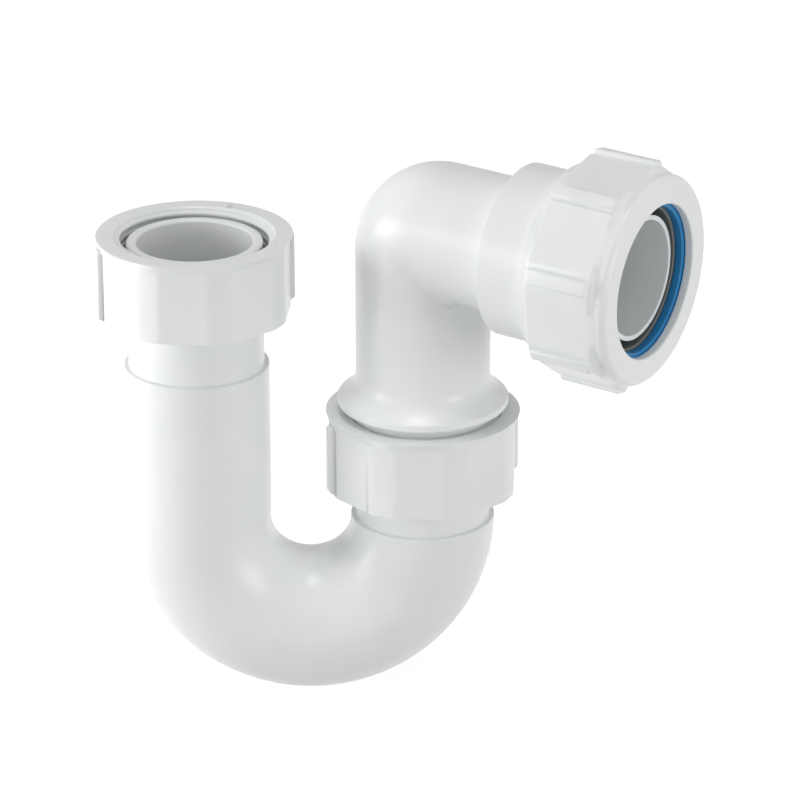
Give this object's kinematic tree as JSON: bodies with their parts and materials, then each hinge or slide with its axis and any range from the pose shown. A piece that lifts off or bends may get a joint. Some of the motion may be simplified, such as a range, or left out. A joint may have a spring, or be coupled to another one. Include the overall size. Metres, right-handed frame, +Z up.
{
  "type": "p trap",
  "caption": "Swivel P trap for a sink waste: U bend with a coupling-nut inlet, a swivel joint and a compression-nut outlet elbow.",
  "frame": {"origin": "centre of the inlet nut's mouth, on the inlet leg's axis, at the nut's rim", "axes": "+Z up out of the inlet nut; +X from the inlet leg's axis towards the swivel leg's axis"},
  "size_m": [0.1826, 0.1003, 0.1847],
  "materials": {
    "white_plastic": "white moulded polypropylene, satin with a soft sheen",
    "seal_rubber": "black moulded rubber, matt",
    "blue_plastic": "blue moulded polyethylene, satin"
  },
  "bodies": {
    "trap_bend": {"trap_bend": "white_plastic"},
    "inlet_ring_and_seal": {"inlet_slip_ring": "white_plastic", "inlet_seal": "seal_rubber"},
    "inlet_nut": {"inlet_nut": "white_plastic"},
    "swivel_seal": {"swivel_seal": "seal_rubber"},
    "swivel_slip_ring": {"swivel_slip_ring": "white_plastic"},
    "swivel_nut": {"swivel_nut": "white_plastic"},
    "outlet_elbow": {"outlet_elbow": "white_plastic"},
    "outlet_ring_and_seal": {"outlet_slip_ring": "blue_plastic", "outlet_seal": "seal_rubber"},
    "outlet_nut": {"outlet_nut": "white_plastic"}
  },
  "joints": [
    {"name": "inlet_nut_slide", "type": "slide", "parent": "trap_bend", "child": "inlet_ring_and_seal", "axis": [0, 0, 1], "range_m": [-0.0165, 0.016]},
    {"name": "inlet_nut_spin", "type": "hinge", "parent": "inlet_ring_and_seal", "child": "inlet_nut", "pos_m": [0, 0, 0], "axis": [0, 0, 1], "continuous": true},
    {"name": "elbow_height", "type": "slide", "parent": "trap_bend", "child": "swivel_seal", "axis": [0, 0, 1], "range_m": [0, 0.012]},
    {"name": "elbow_swivel", "type": "hinge", "parent": "swivel_seal", "child": "outlet_elbow", "pos_m": [0.069, 0, 0], "axis": [0, 0, 1], "range_deg": [-84, 150]},
    {"name": "swivel_nut_unscrew", "type": "hinge", "parent": "swivel_slip_ring", "child": "swivel_nut", "pos_m": [0.069, 0, 0], "axis": [0, 0, -1], "range_deg": [0, 1350]},
    {"name": "swivel_ring_drop", "type": "slide", "parent": "outlet_elbow", "child": "swivel_slip_ring", "axis": [0, 0, -1], "range_m": [0, 0.0087]},
    {"name": "outlet_nut_unscrew", "type": "hinge", "parent": "outlet_ring_and_seal", "child": "outlet_nut", "pos_m": [0.12432, -0.03592, -0.0001], "axis": [0.8382, -0.5443, -0.0349], "range_deg": [0, 1800]},
    {"name": "outlet_ring_draw", "type": "slide", "parent": "outlet_elbow", "child": "outlet_ring_and_seal", "axis": [0.8382, -0.5443, -0.0349], "range_m": [0, 0.0151]}
  ],
  "couplings": [
    {"joint": "swivel_ring_drop", "follows": "swivel_nut_unscrew", "m_per_rad": 0.00036749},
    {"joint": "outlet_ring_draw", "follows": "outlet_nut_unscrew", "m_per_rad": 0.00047746}
  ]
}
